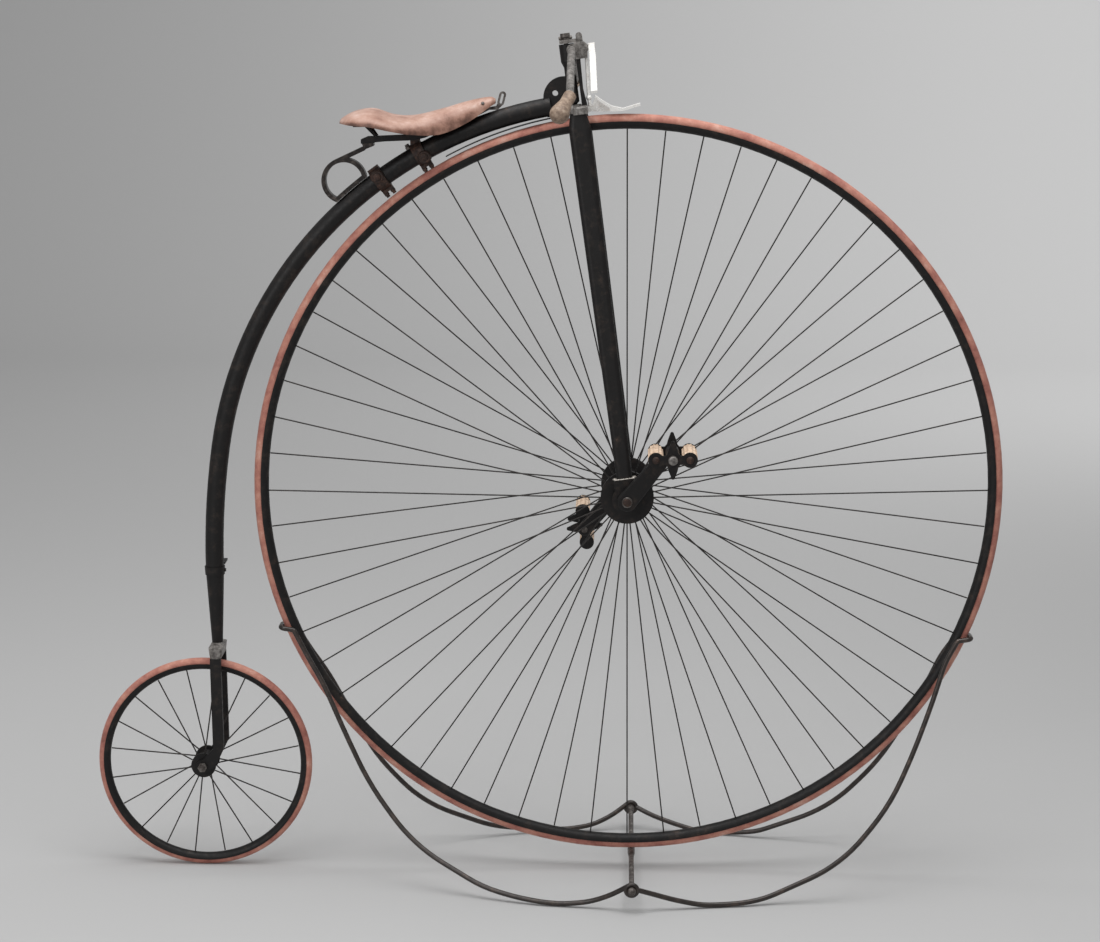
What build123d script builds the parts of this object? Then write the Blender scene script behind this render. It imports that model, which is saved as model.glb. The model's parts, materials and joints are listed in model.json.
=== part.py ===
from build123d import *
import os
from math import asin, atan2, cos, degrees, radians, sin, sqrt, tan

os.makedirs("parts", exist_ok=True)

# High wheel bicycle standing in its wire display stand.
# X points forward, Y to the rider's left and Z up. The floor is Z = 0, the wheels lie in
# the plane Y = 0, and X = 0 is the middle of the machine's length.
# The machine is drawn with its stem upright, and then turned nose up about the rear axle
# until the front wheel is as high as the stand holds it.

# Wheels
front_radius = 711.2
rear_radius = 208.0
stem_lift = 30.0
stand_lift = 43.6
front_tyre_width = 22.0
rear_tyre_width = 19.0
front_rim_width = 26.0
rear_rim_width = 22.0
front_band = 28.0
rear_band = 22.5
front_rim_lip = 13.5
rear_rim_lip = 10.5
spoke_radius = 1.3
front_spoke_count = 60
rear_spoke_count = 20
front_spoke_phase = 5.6
rear_spoke_phase = 9.7
spoke_stagger = 3.0

# Clearances
seat = 0.3
snug = 0.1
running = 0.08

# Hubs, axles and bearings
front_flange_radius = 50.0
front_flange_width = 8.0
front_hub_width = 148.0
front_barrel_radius = 22.0
front_axle_radius = 10.0
rear_flange_radius = 24.0
rear_flange_width = 5.0
rear_hub_width = 57.0
rear_barrel_radius = 12.0
rear_axle_radius = 5.0
rear_nut_width = 8.0
rear_nut_radius = 9.0
bearing_gap = 5.5
bearing_width = 18.5
bearing_radius = 28.0
bearing_top = 33.0
foot_height = 7.0
foot_length = 42.0
case_bolt_radius = 4.5
case_bolt_length = 6.0

# Cranks and pedals
crank_gap = 5.0
crank_width = 16.0
crank_boss_radius = 18.0
crank_tip_radius = 12.5
crank_throw = 130.0
crank_angle = 50.0
axle_end = 3.0
pedal_pin_radius = 6.0
pedal_gap = 12.0
pedal_length = 96.0
pedal_plate = 3.5
pedal_barrel_radius = 13.0
pedal_rubber_radius = 14.0
pedal_rubber_spacing = 62.0
pedal_rod_radius = 3.5
pedal_finial_waist = (8.0, 20.0)
pedal_finial_tip = (3.5, 32.0)
pedal_cap_radius = 9.0
left_pedal_turn = 97.0

# Fork and head, in lengths from the front axle along the fork and forward of it
rake = 6.85
steering_offset = -6.0
blade_foot = (29.8, 17.0)
blade_shoulder = (41.5, 20.0)
blade_top = (31.0, 18.0)
blade_wall = 2.0
blade_top_spread = 34.0
shoulder_drop = 26.0
crown_clearance = 6.3
crown_thickness = 14.0
crown_length = 27.8
crown_forward = 4.8
crown_width = 92.0
cup_radius = 13.0
cup_height = 3.0
spindle_radius = 11.0
waist_radius = 9.5
barrel_radius = 13.7
spindle_height = 111.5
pillar_rear = 8.6
pillar_depth = 8.0
pillar_flare = 18.5
pillar_height = 85.5
pillar_width = 20.0
lug_width = 28.0
lug_front = 34.0
lug_height = 31.0
arm_height = 6.5
arm_width = 20.0
arm_rear = -18.0
arm_front = 13.0
screw_radius = 4.0
nut_height = 3.5
nut_radius = 7.0
knob_height = 7.0
knob_radius = 9.0
lamp_tongue_width = 12.0
lamp_tongue_height = 17.0
lamp_tongue_thickness = 5.0

# Handlebar and grips
bar_radius = 7.0
bar_forward = 3.8
bar_height = 104.0
bar_root = 15.0
bar_boss_radius = 10.0
bar_boss_end = 26.0
bar_level_end = 40.0
bar_bend_out = 110.0
bar_bend_radius = 90.0
bar_bend_drop = 14.0
bar_reach = 265.0
bar_drop = 71.0
grip_length = 79.0
grip_back = 22.0
grip_drop = 36.0
grip_neck_radius = 11.5
grip_bulb_radius = 17.5
grip_mouth_gap = 1.6
grip_mouth_depth = 16.0

# Brake
lever_width = 12.0
lever_thickness = 5.0
lever_up = 20.0
lever_block = 12.0
lever_sweep = 6.8
rod_radius = 3.2
rod_forward = 28.0
rod_lean = 5.0
knuckle_radius = 5.2
spoon_clearance = 5.6
spoon_block_length = 8.0
spoon_block_height = 10.0
spoon_root = 35.0
spoon_length = 81.0
spoon_plate = 4.5
spoon_width = 27.0
spoon_web = 6.0

# Mudguard
guard_clearance = 5.4
guard_thickness = 1.6
guard_width = 24.0
guard_start = 7.8
guard_end = 27.6

# Backbone, neck and rear fork
backbone_radius = 17.5
backbone_wall = 2.4
stem_ahead = 31.6
stem_clearance = 81.2388
stem_low_radius = 10.5
stem_rise = 174.0
step_rise = 174.0
step_band_height = 16.0
step_band_wall = 1.6
step_screw_radius = 3.5
step_peg_radius = 6.0
step_reach = 48.0
step_tread = 30.0
step_tread_thickness = 4.0
lower_bend = 9.3
neck_behind = 28.0011
neck_lift = 27.4
neck_splay = 1.33
neck_disc_radius = 38.0
neck_disc_back = 22.6
neck_disc_up = 16.4
neck_thickness = 18.0
neck_hole_radius = 5.4
neck_hole_back = 37.6
neck_hole_up = 28.7
collar_radius = 18.8
collar_length = 6.0
collar_lip = 4.0
rear_crown_gap = 7.0
rear_crown_height = 14.0
rear_crown_length = 27.0
socket_height = 11.0
rear_blade_gap = 2.5
rear_blade_thickness = 8.0
rear_blade_width = 21.0
rear_crown_taper = 0.8
rear_eye_radius = 13.0

# Saddle, in lengths behind its clamp and above the backbone's middle line there
saddle_thickness = 5.0
saddle_stations = [
    # back, half width, top, edge
    (142.3, 50.0, 67.3, 60.3),
    (119.3, 86.0, 79.3, 55.3),
    (86.3, 98.0, 84.9, 53.3),
    (49.3, 92.0, 73.3, 45.3),
    (9.3, 70.0, 74.3, 36.3),
    (-40.7, 46.0, 85.3, 37.3),
    (-90.7, 30.0, 97.3, 57.3),
    (-135.7, 18.0, 102.3, 87.3),
]
saddle_bar_width = 22.0
saddle_bar_end = -108.7
saddle_bar_outline = [
    # back, height
    (109.3, 19.3),
    (64.3, 23.3),
    (11.3, 24.8),
    (-10.7, 29.3),
    (-50.7, 47.3),
    (-80.7, 59.3),
    (saddle_bar_end, 68.3),
    (saddle_bar_end, 74.3),
    (-80.7, 67.3),
    (-50.7, 57.3),
    (-15.7, 41.3),
    (11.3, 35.3),
    (64.3, 33.3),
    (97.3, 32.3),
    (109.3, 27.3),
]
nose_hook_width = 6.0
nose_hook_outline = [
    # back, height
    (saddle_bar_end, 68.3),
    (-130.0, 79.0),
    (-138.0, 79.0),
    (-146.0, 79.0),
    (-156.5, 89.0),
    (-154.5, 95.0),
    (-147.5, 95.0),
    (-143.0, 86.0),
    (-128.0, 83.5),
    (saddle_bar_end, 74.3),
]
nose_eye_low = (-151.5, 92.5)
nose_eye_high = (-155.3, 106.3)
nose_eye_radius = 6.3
nose_eye_hole = 2.2
cantle_back = 97.3
cantle_length = 20.0
cantle_half = 72.0
cantle_low = 57.3
cantle_top = 73.9
cantle_thickness = 3.0
strut_root = 8.0
strut_back = 81.3
strut_low = 33.3
strut_high = 65.7
strut_spread = 42.0
strut_radius = 4.0
spring_back = 142.3
spring_low = 49.1
spring_radius = 42.5
spring_thickness = 8.0
spring_width = 22.0
spring_strand = 60.0
spring_strand_slope = 24.5
clamp_angle = 28.6
clamp_spacing = 88.9
clamp_length = 22.0
clamp_wall = 5.0
clamp_top_ear = 3.0
clamp_low_ear = 5.0
clamp_ear_width = 13.0
saddle_foot_width = 16.0
saddle_foot_outline = [
    # back, height
    (17.7, 11.7),
    (0.1, 21.3),
    (0.1, 26.7),
    (11.3, 24.5),
    (17.7, 24.3),
]
spring_pad_outline = [
    # back, height
    (107.3, 19.1),
    (85.3, 20.9),
    (85.3, 15.3),
    (103.3, 8.3),
]

# Stand. Its feet are measured along from the crossbar. Its arms turn up round the front
# wheel, at an angle from the wheel's lowest point. Half is a wire's distance from the
# wheels' plane.
stand_wire_radius = 4.8
stand_middle = 15.0
stand_eye_y = 248.6
stand_eye_leave = (115.0, 5.0)
stand_bend_share = 0.47
stand_feet = [
    # along, rear height, rear half, front height, front half
    (40.0, 29.0, 236.0, 33.0, 236.0),
    (80.0, 12.0, 226.0, 19.5, 229.0),
    (130.0, 5.4, 220.0, 6.7, 219.0),
    (165.0, 6.6, 216.0, 5.2, 213.0),
    (215.0, 11.2, 204.0, 7.4, 206.0),
]
stand_arms = [
    # angle, rear distance past the tyre, rear half, front distance past it, front half
    (20.0, 67.5, 182.0, 77.5, 195.0),
    (31.0, 67.3, 130.0, 84.5, 171.0),
    (41.0, 32.0, 89.0, 52.5, 136.5),
    (49.0, -1.0, 66.0, 17.5, 97.0),
    (57.0, -21.0, 42.0, -9.0, 57.0),
    (62.0, -19.0, 28.5, -21.0, 32.0),
]
hook_angles = (66.5, 65.8)
hook_inside = 16.2
hook_outside = 5.6
hook_spread = 18.5
hook_rise = 4.0
hook_elbow_radius = 7.0
hook_corner_radius = 8.5
crossbar_radius = 5.0
crossbar_half = 258.0
crossbar_end_height = 45.0
crossbar_head_radius = 8.0
crossbar_seat_radius = 7.0
crossbar_seat_half = 13.0
crossbar_seat_taper = 29.0
crossbar_shoulder_length = 23.0
crossbar_taper_end = 4.4

# Places worked out from the sizes above
stem_base = front_radius + stem_clearance + stem_ahead
stem_climb = front_radius + stem_lift - rear_radius
axle_span = sqrt(stem_base**2 + stem_climb**2)
stand_climb = front_radius + stand_lift - rear_radius
stand_base = sqrt(axle_span**2 - stand_climb**2)
nose_up = degrees(asin(stand_climb / axle_span) - asin(stem_climb / axle_span))
wheel_x = (stand_base + rear_radius - front_radius) / 2
wheel_z = front_radius + stand_lift
rear_x = wheel_x - stand_base
front_x = rear_x + stem_base
axle_z = front_radius + stem_lift
front_centre = (front_x, 0, axle_z)
rear_centre = (rear_x, 0, rear_radius)
in_stand = Pos(*rear_centre) * Rot(0, -nose_up, 0) * Pos(-rear_x, 0, -rear_radius)
on_floor = Pos(0, 0, 0)
hub_half = front_hub_width / 2
bearing_in = hub_half + bearing_gap
bearing_out = bearing_in + bearing_width
bearing_mid = (bearing_in + bearing_out) / 2
crank_in = bearing_out + crank_gap
crank_out = crank_in + crank_width
pedal_in = crank_out + pedal_gap
pedal_out = pedal_in + pedal_length
crown_low = front_radius + crown_clearance
crown_top = crown_low + crown_thickness
cup_top = crown_top + cup_height
spindle_low = cup_top + seat
spindle_top = spindle_low + spindle_height
lug_low = crown_top + pillar_height
lug_top = lug_low + lug_height
arm_low = spindle_top + 1.5
arm_top = arm_low + arm_height
rear_blade_in = rear_hub_width / 2 + rear_blade_gap
rear_blade_out = rear_blade_in + rear_blade_thickness
rear_crown_low = 2 * rear_radius + rear_crown_gap
rear_crown_top = rear_crown_low + rear_crown_height
socket_top = rear_crown_top + socket_height
stem_x = rear_x + stem_ahead
stem_height = 2 * rear_radius + stem_rise
step_height = 2 * rear_radius + step_rise

# The fork's own planes: its x runs forward, and its y or z runs up along the blades
tilt = radians(rake)
fork_forward = (cos(tilt), 0, sin(tilt))
fork_up = (-sin(tilt), 0, cos(tilt))
fork_cross = Plane(origin=front_centre, x_dir=fork_forward, z_dir=fork_up)
fork_side = Plane(origin=front_centre, x_dir=fork_forward, z_dir=(0, -1, 0))
steering_origin = fork_side.from_local_coords((steering_offset, 0, 0))
steering_axis = Axis(steering_origin, fork_up)

# The backbone's upper end, behind the middle of the neck's round plate and over the wheel
neck_disc_height = crown_top + cup_height + neck_disc_up
neck_reach = neck_disc_back * cos(tilt) + neck_disc_height * sin(tilt) + neck_behind
neck_turn = asin(neck_reach / (front_radius + neck_lift))
neck_x = front_x - neck_reach
neck_z = axle_z + (front_radius + neck_lift) * cos(neck_turn)
sides = (("right", -1), ("left", 1))


def save(piece, node, place=in_stand):
    placed = piece.part.moved(place)
    placed.label = node
    export_step(placed, f"parts/{node}.step")


def head_point(forward, y, up):
    """The place that lies so far forward of the fork line and up it, at the given Y."""
    return fork_side.from_local_coords((forward, up, -y))


def wheel_section(centre):
    """The plane through a wheel's axle and top: its x is Y and its y is the radius."""
    return Plane(origin=centre, x_dir=(0, 1, 0), z_dir=(1, 0, 0))


def wheel_axis(centre):
    return Axis(centre, (0, 1, 0))


def make_tyre(centre, radius, width):
    """A round tyre of one section carried round the axle."""
    with BuildPart() as tyre:
        with BuildSketch(wheel_section(centre)):
            with Locations((0, radius - width / 2)):
                Circle(width / 2)
        revolve(axis=wheel_axis(centre))
    return tyre


def make_rim(centre, radius, tyre_width, rim_width, band, lip):
    """A crescent rim: a round section with the tyre's seat and its mouth cut away."""
    with BuildPart() as rim:
        with BuildSketch(wheel_section(centre)):
            with Locations((0, radius - band + rim_width / 2)):
                Circle(rim_width / 2)
            with Locations((0, radius - tyre_width / 2)):
                Circle(tyre_width / 2 + snug, mode=Mode.SUBTRACT)
            with Locations((0, radius - lip + rim_width / 2)):
                Rectangle(2 * rim_width, rim_width, mode=Mode.SUBTRACT)
        revolve(axis=wheel_axis(centre))
    return rim


def make_spokes(centre, count, phase, first_side, flange_radius, flange_y, rim_radius):
    """Straight spokes, each from one flange's edge to the rim, on either side in turn."""
    planes = []
    for index in range(count):
        angle = radians(phase + index * 360 / count)
        side = first_side if index % 2 == 0 else -first_side
        outward = Vector(cos(angle), 0, sin(angle))
        start = Vector(*centre) + outward * (flange_radius + seat) + Vector(0, side * flange_y, 0)
        end = Vector(*centre) + outward * (rim_radius - seat) + Vector(0, side * spoke_stagger, 0)
        planes.append(Plane(origin=start, z_dir=end - start))
    length = (end - start).length
    with BuildPart() as spokes:
        with Locations(*planes):
            Cylinder(spoke_radius, length, align=(Align.CENTER, Align.CENTER, Align.MIN))
    return spokes


def make_hub(centre, width, flange_radius, flange_width, barrel, bore):
    """Two flanges on a barrel that narrows towards its middle."""
    half = width / 2
    root = half - flange_width
    profile = [
        (-half, bore),
        (-half, flange_radius),
        (-root, flange_radius),
        (-root, barrel * 1.4),
        (-root * 0.6, barrel),
        (root * 0.6, barrel),
        (root, barrel * 1.4),
        (root, flange_radius),
        (half, flange_radius),
        (half, bore),
    ]
    with BuildPart() as hub:
        with BuildSketch(wheel_section(centre)):
            with BuildLine():
                Polyline(*profile, close=True)
            make_face()
        revolve(axis=wheel_axis(centre))
    return hub


def across(centre, y):
    """The plane square to the axle at the given Y: its x is X and its y is Z."""
    return Plane(origin=(centre[0], y, centre[2]), x_dir=(1, 0, 0), z_dir=(0, -1, 0))


def rod(start, end, radius):
    """A plain round rod between two points, added to the part in hand."""
    start = Vector(*start)
    end = Vector(*end)
    with Locations(Plane(origin=start, z_dir=end - start)):
        Cylinder(radius, (end - start).length, align=(Align.CENTER, Align.CENTER, Align.MIN))


# Front wheel
front_tyre = make_tyre(front_centre, front_radius, front_tyre_width)
save(front_tyre, "front_tyre")
front_rim = make_rim(
    front_centre, front_radius, front_tyre_width, front_rim_width, front_band, front_rim_lip
)
save(front_rim, "front_rim")
front_spokes = make_spokes(
    front_centre,
    front_spoke_count,
    front_spoke_phase,
    1,
    front_flange_radius,
    hub_half - front_flange_width / 2,
    front_radius - front_band,
)
save(front_spokes, "front_spokes")
front_hub = make_hub(
    front_centre,
    front_hub_width,
    front_flange_radius,
    front_flange_width,
    front_barrel_radius,
    front_axle_radius + snug,
)
save(front_hub, "front_hub")

axle_half = crank_out + axle_end
with BuildPart() as front_axle:
    with BuildSketch(across(front_centre, axle_half)):
        Circle(front_axle_radius)
    extrude(amount=2 * axle_half)
    chamfer(front_axle.edges().filter_by(GeomType.CIRCLE), 1.0)
save(front_axle, "front_axle")

# Rear wheel
rear_tyre = make_tyre(rear_centre, rear_radius, rear_tyre_width)
save(rear_tyre, "rear_tyre")
rear_rim = make_rim(
    rear_centre, rear_radius, rear_tyre_width, rear_rim_width, rear_band, rear_rim_lip
)
save(rear_rim, "rear_rim")
rear_spokes = make_spokes(
    rear_centre,
    rear_spoke_count,
    rear_spoke_phase,
    -1,
    rear_flange_radius,
    (rear_hub_width - rear_flange_width) / 2,
    rear_radius - rear_band,
)
save(rear_spokes, "rear_spokes")
rear_hub = make_hub(
    rear_centre,
    rear_hub_width,
    rear_flange_radius,
    rear_flange_width,
    rear_barrel_radius,
    rear_axle_radius + running,
)
save(rear_hub, "rear_hub")

# Cranks, pedal pins and pedals; the left crank points the other way
for name, side in sides:
    turn = crank_angle if side < 0 else crank_angle + 180
    reach = Vector(cos(radians(turn)), 0, sin(radians(turn))) * crank_throw
    pin_centre = (front_x + reach.X, 0, axle_z + reach.Z)

    with BuildPart() as crank:
        with BuildSketch(across(front_centre, side * crank_in)):
            with BuildLine():
                boss = CenterArc((0, 0), crank_boss_radius, turn + 90, 180)
                tip = CenterArc((reach.X, reach.Z), crank_tip_radius, turn - 90, 180)
                Line(boss @ 1, tip @ 0)
                Line(tip @ 1, boss @ 0)
            make_face()
            Circle(front_axle_radius + snug, mode=Mode.SUBTRACT)
            with Locations((reach.X, reach.Z)):
                Circle(pedal_pin_radius + snug, mode=Mode.SUBTRACT)
        extrude(amount=-side * crank_width)
        chamfer(crank.faces().sort_by(Axis.Y)[0].outer_wire().edges(), 2.0)
        chamfer(crank.faces().sort_by(Axis.Y)[-1].outer_wire().edges(), 2.0)
    save(crank, f"crank_{name}")

    pin_start = side * (crank_in - 1.0)
    pin_end = side * (pedal_out + 5.0)
    with BuildPart() as pin:
        with BuildSketch(across(pin_centre, pin_start)):
            Circle(pedal_pin_radius)
        extrude(amount=-(pin_end - pin_start))
        with BuildSketch(across(pin_centre, side * (crank_out + snug))):
            RegularPolygon(pedal_pin_radius * 1.8, 6)
        extrude(amount=-side * 6.0)
        with BuildSketch(across(pin_centre, side * (pedal_out + 0.6))):
            Circle(pedal_cap_radius)
        extrude(amount=-side * 4.4)
    save(pin, f"pedal_pin_{name}")

    pedal_turn = radians(0.0 if side < 0 else left_pedal_turn)
    pedal_plane = Plane(
        origin=(pin_centre[0], side * pedal_in, pin_centre[2]),
        x_dir=(cos(pedal_turn), 0, sin(pedal_turn)),
        z_dir=(0, -1, 0),
    )
    grip_half = pedal_rubber_spacing / 2
    with BuildPart() as cage:
        for offset in (0.0, pedal_length - pedal_plate):
            with BuildSketch(pedal_plane.offset(-side * offset)):
                Circle(pedal_barrel_radius * 1.2)
                SlotCenterToCenter(pedal_rubber_spacing, pedal_rubber_radius * 1.2)
                with Locations((-grip_half, 0), (grip_half, 0)):
                    Circle(pedal_rubber_radius)
                with BuildLine():
                    waist_half, waist_up = pedal_finial_waist
                    tip_half, tip_up = pedal_finial_tip
                    Polyline(
                        (-pedal_barrel_radius, 0),
                        (-waist_half, waist_up),
                        (-tip_half, tip_up),
                        (tip_half, tip_up),
                        (waist_half, waist_up),
                        (pedal_barrel_radius, 0),
                        (waist_half, -waist_up),
                        (tip_half, -tip_up),
                        (-tip_half, -tip_up),
                        (-waist_half, -waist_up),
                        close=True,
                    )
                make_face()
                with Locations((0, tip_up), (0, -tip_up)):
                    Circle(tip_half)
            extrude(amount=-side * pedal_plate)
        with BuildSketch(pedal_plane.offset(-side * pedal_plate)):
            Circle(pedal_barrel_radius)
            with Locations((-grip_half, 0), (grip_half, 0)):
                Circle(pedal_rod_radius)
        extrude(amount=-side * (pedal_length - 2 * pedal_plate))
        with BuildSketch(pedal_plane):
            Circle(pedal_pin_radius + running)
        extrude(amount=-side * pedal_length, mode=Mode.SUBTRACT)
    save(cage, f"pedal_{name}_cage")

    with BuildPart() as rubbers:
        with BuildSketch(pedal_plane.offset(-side * (pedal_plate + snug))):
            with Locations((-grip_half, 0), (grip_half, 0)):
                Circle(pedal_rubber_radius)
                Circle(pedal_rod_radius + snug, mode=Mode.SUBTRACT)
        extrude(amount=-side * (pedal_length - 2 * pedal_plate - 2 * snug))
    save(rubbers, f"pedal_{name}_rubbers")

# Fork blades, each a flattened tube on a foot, and the bearing case bolted under the foot
shoulder_up = crown_low - shoulder_drop
foot_top = bearing_top + foot_height
for name, side in sides:
    lean = (bearing_mid - blade_top_spread) / (crown_low - foot_top)
    stations = [
        (foot_top, blade_foot),
        (shoulder_up, blade_shoulder),
        (crown_low, blade_top),
    ]
    with BuildPart() as blade:
        for (low, low_size), (high, high_size) in zip(stations, stations[1:]):
            for shrink, mode in ((0.0, Mode.ADD), (blade_wall, Mode.SUBTRACT)):
                for up, size in ((low, low_size), (high, high_size)):
                    spread = blade_top_spread + lean * (crown_low - up)
                    with BuildSketch(fork_cross.offset(up)):
                        with Locations((0, side * spread)):
                            SlotOverall(size[0] - 2 * shrink, size[1] - 2 * shrink)
                loft(ruled=True, mode=mode)
        with BuildSketch(fork_cross.offset(bearing_top)):
            with Locations((0, side * bearing_mid)):
                RectangleRounded(foot_length, bearing_width, 3.0)
        extrude(amount=foot_height)
    save(blade, f"fork_blade_{name}")

    with BuildPart() as bearing:
        with BuildSketch(fork_side.offset(-side * bearing_in)):
            Circle(bearing_radius)
            with Locations((0, bearing_top - 6.0)):
                Rectangle(foot_length, 12.0)
            Circle(front_axle_radius + running, mode=Mode.SUBTRACT)
        extrude(amount=-side * bearing_width)
        for offset in (-1, 1):
            with BuildSketch(fork_cross.offset(bearing_top - 12.0)):
                with Locations((offset * (foot_length / 2 - 5.0), side * bearing_mid)):
                    RegularPolygon(case_bolt_radius, 6)
            extrude(amount=-case_bolt_length)
    save(bearing, f"bearing_{name}")

# Head: crown, front pillar and top lug of one open frame, which holds the neck's spindle
with BuildPart() as fork_crown:
    with BuildSketch(fork_cross.offset(crown_low)):
        with Locations((crown_forward, 0)):
            RectangleRounded(crown_length, crown_width, 9.0)
    extrude(amount=crown_thickness)
    chamfer(fork_crown.faces().sort_by(Axis(front_centre, fork_up))[-1].edges(), 2.5)
    with BuildSketch(fork_cross.offset(crown_low + 1.0)):
        with Locations((steering_offset, 0)):
            Circle(cup_radius)
    extrude(amount=cup_top - crown_low - 1.0)
save(fork_crown, "fork_crown")

pillar_front = pillar_rear + pillar_depth
with BuildPart() as head_pillar:
    with BuildSketch(fork_side):
        with BuildLine():
            Polyline(
                (pillar_rear, crown_top),
                (pillar_flare, crown_top),
                (pillar_front - 2.0, crown_top + 30.0),
                (pillar_front, lug_low),
                (pillar_rear, lug_low),
                close=True,
            )
        make_face()
    extrude(amount=pillar_width / 2, both=True)
save(head_pillar, "head_pillar")

with BuildPart() as head_lug:
    with BuildSketch(fork_side):
        with BuildLine():
            Polyline(
                (pillar_rear, lug_low),
                (lug_front - 4.0, lug_low),
                (lug_front - 2.5, lug_low + 12.0),
                (lug_front, lug_low + 14.0),
                (lug_front, lug_low + 22.0),
                (lug_front - 8.0, lug_top),
                (pillar_rear, lug_top),
                close=True,
            )
        make_face()
    extrude(amount=lug_width / 2, both=True)
    with BuildSketch(fork_side):
        with BuildLine():
            Polyline(
                (arm_rear, arm_low),
                (pillar_rear, arm_low),
                (pillar_rear, lug_low + 10.0),
                (arm_front, lug_low + 10.0),
                (arm_front, arm_top),
                (arm_rear, arm_top),
                close=True,
            )
        make_face()
    extrude(amount=arm_width / 2, both=True)
    with BuildSketch(fork_side.offset(bar_boss_end)):
        with Locations((bar_forward, bar_height + crown_top)):
            Circle(bar_boss_radius)
    extrude(amount=-2 * bar_boss_end)
    with BuildSketch(fork_cross.offset(lug_low - 1.0)):
        with Locations((steering_offset, 0)):
            Circle(barrel_radius + 0.8)
    extrude(amount=arm_low - lug_low + 1.0, mode=Mode.SUBTRACT)
    with BuildSketch(fork_cross.offset(arm_low - 1.0)):
        with Locations((steering_offset, 0)):
            Circle(screw_radius + snug)
    extrude(amount=arm_height + 2.0, mode=Mode.SUBTRACT)
    with BuildSketch(fork_side.offset(bar_boss_end + 1.0)):
        with Locations((bar_forward, bar_height + crown_top)):
            Circle(bar_radius + snug)
    extrude(amount=-2 * (bar_boss_end + 1.0), mode=Mode.SUBTRACT)
save(head_lug, "head_lug")

with BuildPart() as adjusting_screw:
    for radius, low, high in (
        (screw_radius, spindle_top + seat, arm_top),
        (nut_radius, arm_top, arm_top + nut_height),
        (screw_radius, arm_top + nut_height, arm_top + nut_height + 1.5),
        (knob_radius, arm_top + nut_height + 1.5, arm_top + nut_height + 1.5 + knob_height),
    ):
        with BuildSketch(fork_cross.offset(low)):
            with Locations((steering_offset, 0)):
                Circle(radius)
        extrude(amount=high - low)
save(adjusting_screw, "adjusting_screw")

with BuildPart() as lamp_bracket:
    with BuildSketch(fork_side):
        with Locations((arm_front + lamp_tongue_width / 2 + snug, lug_top)):
            with Locations((0, (lamp_tongue_height - lamp_tongue_width / 2) / 2)):
                Rectangle(lamp_tongue_width, lamp_tongue_height - lamp_tongue_width / 2)
            with Locations((0, lamp_tongue_height - lamp_tongue_width / 2)):
                Circle(lamp_tongue_width / 2)
    extrude(amount=lamp_tongue_thickness / 2, both=True)
save(lamp_bracket, "lamp_bracket")

# Handlebar halves and their pear-shaped grips
bar_up = bar_height + crown_top
grip_out = sqrt(grip_length**2 - grip_back**2 - grip_drop**2)
for name, side in sides:
    root = head_point(bar_forward, side * bar_root, bar_up)
    level = root + Vector(0, side * (bar_level_end - bar_root), 0)
    bend = root + Vector(0, side * (bar_bend_out - bar_root), -bar_bend_drop)
    neck = root + Vector(0, side * (bar_reach - bar_root), -bar_drop)
    tail = neck + Vector(-grip_back, side * grip_out, -grip_drop)
    inside = neck + (tail - neck) * 0.8
    with BuildPart() as bar:
        with BuildLine() as bar_line:
            FilletPolyline(root, level, bend, neck, inside, radius=bar_bend_radius)
        with BuildSketch(Plane(origin=bar_line.line @ 0, z_dir=bar_line.line % 0)):
            Circle(bar_radius)
        sweep(path=bar_line.line)
    save(bar, f"handlebar_{name}")

    bulb = grip_length - grip_bulb_radius
    grip_plane = Plane(origin=neck, x_dir=tail - neck, z_dir=(tail - neck).cross(Vector(0, 0, 1)))
    with BuildPart() as grip:
        with BuildSketch(grip_plane):
            with BuildLine():
                nose = CenterArc((bulb, 0), grip_bulb_radius, 0, 107)
                Polyline(nose @ 1, (grip_length * 0.35, grip_neck_radius), (0, grip_neck_radius), (0, 0))
                Line((0, 0), nose @ 0)
            make_face()
        revolve(axis=Axis(neck, tail - neck))
        with BuildSketch(Plane(origin=neck, z_dir=tail - neck)):
            Circle(bar_radius + snug)
        extrude(amount=grip_length * 0.8 + seat, mode=Mode.SUBTRACT)
        with BuildSketch(Plane(origin=neck, z_dir=tail - neck)):
            Circle(bar_radius + grip_mouth_gap)
        extrude(amount=grip_mouth_depth, mode=Mode.SUBTRACT)
    save(grip, f"grip_{name}")

# Spoon brake: a lever along the right handlebar, a plunger rod and the spoon over the tyre
block_front = crown_forward + crown_length / 2 + spoon_block_length
block_top = crown_low + 1.0 + spoon_block_height
lever_root = head_point(lug_front + lever_width / 2 + seat, 0, lug_low + lever_up)
lever_level = lever_root + Vector(0, -bar_level_end, 0)
lever_forward = Vector(*fork_forward) * lever_sweep
lever_part_way = bar_bend_out / bar_reach
lever_bend = lever_root + lever_forward * lever_part_way + Vector(0, -bar_bend_out, -bar_bend_drop)
lever_end = lever_root + lever_forward + Vector(0, -bar_reach, -bar_drop)
with BuildPart() as brake_lever:
    with BuildLine() as lever_line:
        FilletPolyline(lever_root, lever_level, lever_bend, lever_end, radius=bar_bend_radius)
    with BuildSketch(Plane(origin=lever_root, x_dir=fork_forward, z_dir=(0, -1, 0))):
        RectangleRounded(lever_width, lever_thickness, lever_thickness / 3)
    sweep(path=lever_line.line)
    with BuildSketch(fork_cross.offset(lug_low + lever_up - lever_block / 2)):
        with Locations((lug_front + lever_width / 2 + seat, 0)):
            Rectangle(lever_width, lever_block)
    extrude(amount=lever_block)
save(brake_lever, "brake_lever")

knuckle = (rod_forward - rod_lean, 0, block_top + knuckle_radius + 10.0)
with BuildPart() as brake_rod:
    rod(head_point(rod_forward, 0, lug_low - seat), head_point(*knuckle), rod_radius)
    rod(head_point(*knuckle), head_point(knuckle[0], 0, block_top), rod_radius)
    with Locations(head_point(*knuckle)):
        Sphere(knuckle_radius)
save(brake_rod, "brake_rod")

spoon_low = front_radius + spoon_clearance
spoon_dip = spoon_root + 48.0


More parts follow.
